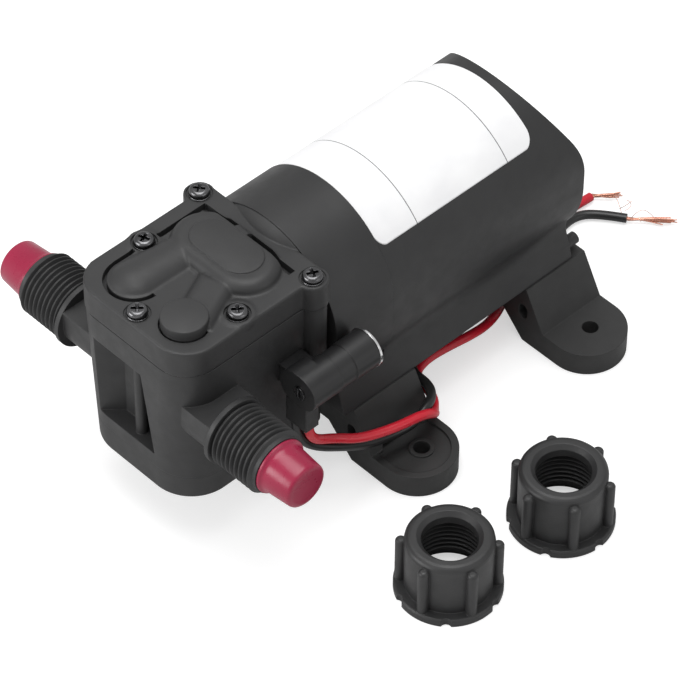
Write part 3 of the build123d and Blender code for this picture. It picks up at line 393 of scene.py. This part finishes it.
def sliced(piece, at, normal, **side):
    """Cut a piece with a plane, drop the part on the side that is named, and close the cut."""
    pick(piece, lambda p: True)
    bpy.ops.mesh.bisect(plane_co=[c * MM for c in at], plane_no=normal, use_fill=True, **side)
    bpy.ops.object.mode_set(mode="OBJECT")
    return piece


# %% [markdown]
# Pieces are put in place by one matrix, joined, and cut out of each other by exact booleans. Shading is smooth
# over small angles and crisp over large ones. A finished piece is handed over with the body it rides on, the
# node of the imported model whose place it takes, and that node's finish.

# %% Placing, joining, cutting and handing over
def about(axis, degrees):
    return Matrix.Rotation(math.radians(degrees), 4, axis)


def placed(piece, turn=Matrix.Identity(4), move=(0, 0, 0)):
    """Turn a piece about the world's origin, move it, and leave its own origin where it was."""
    piece.matrix_world = Matrix.Translation(Vector(move) * MM) @ turn
    choose([piece])
    return settle()


def joined(pieces, name=None):
    choose(pieces)
    bpy.ops.object.join()
    if name:
        pieces[0].name = name
    return pieces[0]


def carve(piece, cutters, operation="DIFFERENCE"):
    for cutter in cutters:
        change = piece.modifiers.new("cut", "BOOLEAN")
        change.operation, change.solver, change.object = operation, "EXACT", cutter
        choose([piece])
        bpy.ops.object.modifier_apply(modifier=change.name)
        bpy.data.objects.remove(cutter)
    return piece


def smooth(piece, angle):
    choose([piece])
    bpy.ops.object.shade_smooth_by_angle(angle=math.radians(angle))
    return piece


def hand_over(piece, node_name, body=None):
    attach(piece, body or "pump")
    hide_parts(node_name)
    dress(piece, slot_of[node_name])
    print(piece.name, len(piece.data.polygons), "faces")


# %% [markdown]
# The cover of the pump head begins as a flat plate with round front corners. Two ears carry the rear screws and
# low collars stand round the middle ones. The outline could be drawn and pulled up; a brick with bevelled corners
# comes to the same and each of its sizes stays a number.

# %% Plate of the cover
SEAM, TOP = 73.0, 82.5
FRONT, REAR, HALF_WIDTH, CORNER = -111.95, -57.0, 24.75, 10.6
COVER_SCREWS = [(-61.6, 24.0), (-61.6, -24.0), (-87.0, 19.8), (-87.0, -19.8), (-107.4, 0.0)]
ROOT = TOP - 2

plate = brick(FRONT, REAR, -HALF_WIDTH, HALF_WIDTH, SEAM, TOP)
for side in (1, -1):
    bevelled(plate, lambda p: p.x < -100 and p.y * side > 20, CORNER, 14)
ears = [drum(4.8, SEAM, TOP, x, y) for x, y in COVER_SCREWS[:2]]
collars = [bevelled(drum(5.2, ROOT, TOP + 0.35, x, y), lambda p: p.z > TOP, 0.25, 3) for x, y in COVER_SCREWS[2:4]]
carve(plate, ears, "UNION")
carve(plate, collars, "UNION")
print("plate:", len(plate.data.polygons), "faces")

# %% [markdown]
# The channels of the cover stand up from the plate: a broad dome over the valves, a round ridge from the far port
# with a rounded nose, and a short boss over the near port, with a soft saddle and cheek between them. Below the
# plate's face each shape is sliced off, so that nothing of it shows from underneath.

# %% Raised shapes of the cover
DOME_TOP, BOSS_TOP, CHEEK_TOP = 86.0, 85.0, 84.6
RIDGE_RADIUS, RIDGE_LENGTH, RIDGE_AT = 7.5, 16.5, (-98.9, 10.9, 78.3)
BOSS_AT = (-100.7, -12.5)

dome = lengthened(drum(10.8, ROOT, DOME_TOP, -73.6, 0.0, 72), 7.6, 8.2)
bevelled(dome, lambda p: p.z > DOME_TOP - 0.1, 3.6, 8)
ridge = placed(drum(RIDGE_RADIUS, 0, RIDGE_LENGTH), about("Y", 90))
deselect()
bpy.ops.mesh.primitive_uv_sphere_add(segments=48, ring_count=24, radius=RIDGE_RADIUS * MM)
nose = settle()
for part, stretch in ((ridge, 1.0), (nose, 1.18)):
    scaled(part, lambda p: p.x < 15, (stretch, 1.22, 1))
    scaled(part, lambda p: p.x > 15, (1, 1.08, 0.97))
    placed(part, about("Z", -4), RIDGE_AT)
boss = drum(6.6, ROOT, BOSS_TOP, *BOSS_AT)
saddle = bevelled(brick(-10, 10, -6.2, 6.2, ROOT, BOSS_TOP), lambda p: p.z > 84, 3.6, 8)
placed(saddle, about("Z", 24), (-90.6, -10.2, 0))
cheek = bevelled(brick(-85.5, -77, 4.5, 15.5, ROOT, CHEEK_TOP), lambda p: p.z > 84, 2.4, 6)
raised = [dome, ridge, nose, boss, saddle, cheek]
for part in raised:
    sliced(part, (0, 0, TOP - 1.6), (0, 0, 1), clear_inner=True)
print("raised shapes:", len(raised))

# %% [markdown]
# On the real cover the channels flow into each other. Such blends could be laid out by hand, face by face, or
# made with wide bevels, which fail where several shapes meet. Melting is simpler: all shapes are rebuilt as one
# skin of small equal faces, and a few rounds of smoothing then soften every joint alike.

# %% Melting the cover into one skin
def melted(piece, voxel, rounds):
    """Grow everything in the piece together into one skin and smooth it."""
    skin = piece.modifiers.new("skin", "REMESH")
    skin.mode, skin.voxel_size = "VOXEL", voxel * MM
    soft = piece.modifiers.new("soft", "SMOOTH")
    soft.factor, soft.iterations = 0.5, rounds
    choose([piece])
    for name in ("skin", "soft"):
        bpy.ops.object.modifier_apply(modifier=name)
    return piece


SKIN_VOXEL, SKIN_ROUNDS = 0.36, 11
cover = melted(joined([plate] + raised), SKIN_VOXEL, SKIN_ROUNDS)
print("melted cover:", len(cover.data.polygons), "faces")

# %% [markdown]
# Narrow grooves run along the channels, and the screws sit in shallow seats. Melting would wash such fine edges
# away, so they are cut afterwards. The straight lengths are bricks. The round ones are rings: a profile of radius
# and height, turned round an axis, with the rear part of the ring cut off.

# %% Grooves and seats of the cover
def turned(profile, steps=64):
    """A shape turned round Z from (radius, height) points: one vertex is extruded along them, then spun."""
    deselect()
    bpy.ops.mesh.primitive_plane_add(size=MM)
    bpy.ops.object.mode_set(mode="EDIT")
    bpy.ops.mesh.select_all(action="SELECT")
    bpy.ops.mesh.merge(type="CENTER")
    bpy.ops.transform.translate(value=(profile[0][0] * MM, 0, profile[0][1] * MM))
    for (r0, z0), (r1, z1) in zip(profile, profile[1:]):
        bpy.ops.mesh.extrude_region_move(TRANSFORM_OT_translate={"value": ((r1 - r0) * MM, 0, (z1 - z0) * MM)})
    bpy.ops.mesh.select_all(action="SELECT")
    bpy.ops.mesh.spin(steps=steps, angle=2 * math.pi, center=(0, 0, 0), axis=(0, 0, 1))
    bpy.ops.mesh.select_all(action="SELECT")
    bpy.ops.mesh.remove_doubles(threshold=0.000001)
    bpy.ops.mesh.normals_make_consistent(inside=False)
    bpy.ops.object.mode_set(mode="OBJECT")
    return bpy.context.object


SCREW_SEAT, TRENCH_FLOOR, MOAT_FLOOR = TOP - 0.45, TOP - 2.6, TOP - 2.4
TRENCHES = [(-82.5, -63.4, 17.9, 19.7, TOP + 5), (-65.8, -63.2, 4.2, 19.0, TOP + 5),
            (-65.9, -63.4, -18.6, -0.8, TOP + 5), (-99.0, -91.4, 18.5, 19.9, TOP + 1)]
MOATS = [((-99.0, 10.6, 0), 7.9, 9.2, -98.9), ((*BOSS_AT, 0), 7.0, 7.5, -98.0)]

carve(cover, [drum(3.95, SCREW_SEAT, TOP + 6, x, y) for x, y in COVER_SCREWS])
cutters = [brick(x0, x1, y0, y1, TRENCH_FLOOR, above) for x0, x1, y0, y1, above in TRENCHES]
for place, inner, outer, end in MOATS:
    ring = [(inner, MOAT_FLOOR), (outer, MOAT_FLOOR), (outer, TOP + 1), (inner, TOP + 1), (inner, MOAT_FLOOR)]
    moat = placed(turned(ring), move=place)
    cutters.append(sliced(moat, (end, 0, 0), (1, 0, 0), clear_outer=True))
carve(cover, cutters)
print("grooves:", len(cutters))

# %% [markdown]
# Three crisp parts come last: the flat pad on the dome, the disc on the boss, and a lip that curves up against the
# round housing behind the cover. They could be melted in with the rest, but their edges are sharp on the real
# cover. The lip is a turned ring, laid on its side, of which only the top is kept.

# %% Pad, disc and lip of the cover
PAD_TOP = 86.45
LIP = [(26.0, -3.4), (28.7, -0.6), (29.3, 0), (24.0, 0), (24.0, -3.4), (26.0, -3.4)]
LIP_AT = (-57.02, 0, 56.5)

pad = lengthened(drum(6.8, 85.0, PAD_TOP, -73.3, 0.0, 72), 5.6, 6.6)
bevelled(pad, lambda p: p.z > PAD_TOP - 0.05, 0.25, 3)
disc = bevelled(drum(7.0, MOAT_FLOOR, DOME_TOP, *BOSS_AT), lambda p: p.z > DOME_TOP - 0.1, 0.3, 3)
lip = placed(turned(LIP, 144), about("Y", 90), LIP_AT)
sliced(lip, (0, 0, TOP - 0.3), (0, 0, 1), clear_inner=True)
cover = smooth(joined([cover, pad, disc, lip], "top_cover"), 40)
hand_over(cover, "valve_cover")

# %% [markdown]
# Five cross-head screws hold the cover. Their crosses could be drawn in the material, but a cut recess catches
# its own shadow from every side. One recipe makes them all: a pan head with a tapering cross, and under it the
# thin flange that spreads the load on the plastic. Each screw stopped at its own angle.

# %% Cover screws
SCREW_TURNS = (38, 64, 21, 52, 47)


def cross_screw():
    head = bevelled(drum(3.15, 0.2, 2.45, sides=48), lambda p: p.z > 2.4, 1.3, 7)
    arms = []
    for turn in (0, 90):
        arm = brick(-2.15, 2.15, -0.58, 0.58, 0.7, 3.0)
        scaled(arm, lambda p: p.z < 1, (0.45, 0.5, 1))
        arms.append(placed(arm, about("Z", turn)))
    carve(head, arms)
    flange = bevelled(drum(3.35, 0, 0.35, sides=48), lambda p: p.z > 0.3, 0.15, 3)
    shank = drum(1.45, -17, 0.1, sides=24)
    return joined([head, flange, shank])


screws = [placed(cross_screw(), about("Z", turn), (x, y, SCREW_SEAT))
          for (x, y), turn in zip(COVER_SCREWS, SCREW_TURNS)]
hand_over(smooth(joined(screws, "cross_screws"), 30), "cover_screws")

# %% [markdown]
# The red plugs are soft plastic. Each has a thin flange that lies on the port, a hollow curve into a tapering
# grip, and a rounded end. A cylinder could be scaled ring by ring, but turning one profile gives every curve at
# once. The profile holds the radius and the distance outwards from the port's rim, and its start is the hollow
# end inside the port.

# %% Plugs of the two ports
PORT_X, PORT_END, PORT_Z = -100.3, 50.9, 53.3
PLUG = [(0, -1.6), (4.7, -1.6), (4.7, -8), (6.3, -8), (6.3, -0.05), (8.75, -0.05), (8.95, 0.15), (8.95, 0.75),
        (8.75, 1.0), (8.45, 1.15), (8.15, 1.5), (7.98, 2.1), (7.88, 3.0), (7.25, 10.6), (7.05, 11.1), (6.7, 11.4),
        (6.1, 11.58), (5.2, 11.62), (0, 11.62)]
for side, name in ((-1, "outlet_plug"), (1, "inlet_plug")):
    plug = placed(turned(PLUG), about("X", -side * 90), (PORT_X, side * PORT_END, PORT_Z))
    plug.name = name + "_soft"
    smooth(plug, 30)
    hand_over(plug, name, name)

# %% [markdown]
# The stripped ends are bundles of fine copper wires. They leave the sheath together, part a little, and a few
# hair-thin ones stand away from the rest. One rough cylinder would do from afar; separate curves give the glints
# between the wires. Inside the sheath the wires are spread like the seeds of a sunflower, which fills a bundle
# evenly.

# %% Bare copper strands
STRAND_WIDTH, HAIR_WIDTH = 0.4, 0.18
SEED_ANGLE, BUNDLE_RADIUS = 2.4, 0.75


def strand_paths(start, end, tips):
    """Paths from inside the sheath's end to each tip, bundled at the start."""
    out = end - start
    paths = []
    for i, tip in enumerate(tips):
        angle, ring = SEED_ANGLE * i, BUNDLE_RADIUS * math.sqrt((i + 0.5) / len(tips))
        shift = Vector((0.3 * ring * math.cos(angle), 0.7 * ring * math.cos(angle), ring * math.sin(angle)))
        reach = Vector(tip) - end
        sway = Vector((0.5 * math.sin(3 * i), 0.4 * math.cos(5 * i), 0.3 * math.sin(7 * i)))
        paths.append([start + shift, end + shift, end + out * 0.25 + shift * 0.9, end + 0.5 * reach + sway, tip])
    return paths


def copper_end(colour, strand_tips, hair_paths):
    lead, route, length = leads[colour]
    end = Vector(route[-1])
    heading = (end - Vector(route[-2])).normalized()
    name = colour + "_copper"
    paths = strand_paths(end - heading * 2, end + heading * 0.4, strand_tips)
    pieces = [soft_curve(name, path, STRAND_WIDTH, 2) for path in paths]
    pieces += [soft_curve(name, path, HAIR_WIDTH, 1) for path in hair_paths]
    choose(pieces)
    bpy.ops.object.convert(target="MESH")
    bundle = smooth(joined(pieces, name), 60)
    hand_over(bundle, colour + "_strands")


copper_end("red",
           [(90.5, -6.6, 1.9), (90.2, -6.2, 2.4), (90.9, -6.9, 1.2), (89.6, -6.0, 1.5), (88.4, -5.4, 2.6),
            (89.0, -5.9, 1.0), (90.4, -6.4, 2.8), (87.8, -5.2, 1.8), (89.9, -6.4, 0.9)],
           [[(86.0, -3.5, 1.8), (87.6, -6.0, 3.4), (86.6, -9.4, 2.6), (84.6, -12.6, 1.0)],
            [(84.4, -11.6, 3.2), (85.8, -13.0, 4.4), (87.9, -13.4, 5.4)],
            [(85.0, -13.4, 3.1), (87.2, -14.2, 3.6), (88.0, -12.8, 4.9), (87.4, -11.6, 5.0)]])
copper_end("black",
           [(94.6, -26.2, 1.2), (94.0, -25.0, 2.2), (95.0, -27.0, 0.9), (92.6, -24.2, 0.5), (93.0, -25.8, 2.6),
            (91.8, -25.2, 3.2), (93.8, -25.4, 0.4), (92.4, -23.8, 1.6), (94.9, -26.8, 1.9), (91.0, -24.4, 0.7),
            (93.4, -26.6, 3.0)],
           [[(85.0, -16.4, 2.2), (87.4, -17.0, 4.4), (89.8, -18.6, 3.8), (91.0, -20.4, 1.2)],
            [(86.6, -18.6, 1.0), (89.6, -19.4, 1.2), (91.6, -20.8, 0.6)]])

# %% [markdown]
# The pump stands on a wide pale floor that runs out of the picture. A floor as white as the page would throw its
# light back up onto the pump. So this one is a little darker and glows for the camera alone: it is nearly white
# in the picture, still takes shadows, and lends the pump no extra light.

# %% Floor
FLOOR_SIZE, FLOOR_DROP, FLOOR_GLOW = 6, 0.0002, 0.55

deselect()
bpy.ops.mesh.primitive_plane_add(size=FLOOR_SIZE, location=(0, 0, -FLOOR_DROP))
floor = settle()
floor.name = "studio_floor"

material, tree, shader, place = new_material("pale_studio_floor")
shader.inputs["Roughness"].default_value = 0.9
shader.inputs["Specular IOR Level"].default_value = 0.1
tone = two_tone(tree, mottled(tree, place, 3, 0, 1, -600, 200), (0.62, 0.62, 0.62), (0.64, 0.64, 0.64), 0, 200)
tree.links.new(tone, shader.inputs["Base Color"])
rays = node_at(tree, "ShaderNodeLightPath", 0, -300)
glow = node_at(tree, "ShaderNodeMath", 300, -300, operation="MULTIPLY")
glow.inputs[1].default_value = FLOOR_GLOW
tree.links.new(rays.outputs["Is Camera Ray"], glow.inputs[0])
shader.inputs["Emission Color"].default_value = (1, 1, 1, 1)
tree.links.new(glow.outputs[0], shader.inputs["Emission Strength"])
floor.data.materials.append(material)
print("floor:", floor.name, "with a glow of", FLOOR_GLOW)

# %% [markdown]
# A large soft lamp overhead gives the broad highlights along the motor, a second one on the left lifts the front
# of the head, and a weak third one lifts the side of the switch. Small lamps would throw hard, deep shadows, and
# the picture has none. The sky around fills what shadows are left. It is white for the camera and through clear
# things, and dimmer for the light it throws.

# %% Lamps and sky
SKY_LIGHT, SKY_SEEN = 0.58, 1.0


def soft_lamp(name, place, aim, size, power):
    bpy.ops.object.light_add(type="AREA", location=place)
    lamp = bpy.context.object
    lamp.name = name
    lamp.data.shape = "RECTANGLE"
    lamp.data.size, lamp.data.size_y = size
    lamp.data.energy = power
    lamp.rotation_euler = (Vector(aim) - Vector(place)).to_track_quat("-Z", "Y").to_euler()


soft_lamp("overhead_softbox", (-0.05, 0.05, 1.15), (0, 0, 0.05), (0.9, 0.8), 8.8)
soft_lamp("left_softbox", (-1.05, 0.35, 0.40), (-0.05, 0, 0.05), (0.7, 0.5), 5.5)
soft_lamp("near_softbox", (0.15, -1.10, 0.45), (0, 0, 0.04), (0.7, 0.4), 1.0)

world = bpy.data.worlds.new("studio_sky")
bpy.context.scene.world = world
world.use_nodes = True
tree = world.node_tree
tree.nodes.clear()
out = node_at(tree, "ShaderNodeOutputWorld", 600, 0)
sky = node_at(tree, "ShaderNodeBackground", 400, 0)
rays = node_at(tree, "ShaderNodeLightPath", -400, 0)
seen = node_at(tree, "ShaderNodeMath", -200, 0, operation="MAXIMUM")
tree.links.new(rays.outputs["Is Camera Ray"], seen.inputs[0])
tree.links.new(rays.outputs["Is Transmission Ray"], seen.inputs[1])
strength = node_at(tree, "ShaderNodeMapRange", 0, 0)
strength.inputs["To Min"].default_value, strength.inputs["To Max"].default_value = SKY_LIGHT, SKY_SEEN
tree.links.new(seen.outputs[0], strength.inputs["Value"])
tree.links.new(strength.outputs["Result"], sky.inputs["Strength"])
sky.inputs["Color"].default_value = (1, 1, 1, 1)
tree.links.new(sky.outputs["Background"], out.inputs["Surface"])
bpy.context.scene.view_settings.view_transform = "Standard"
print("sky:", SKY_LIGHT, "as light,", SKY_SEEN, "as seen")
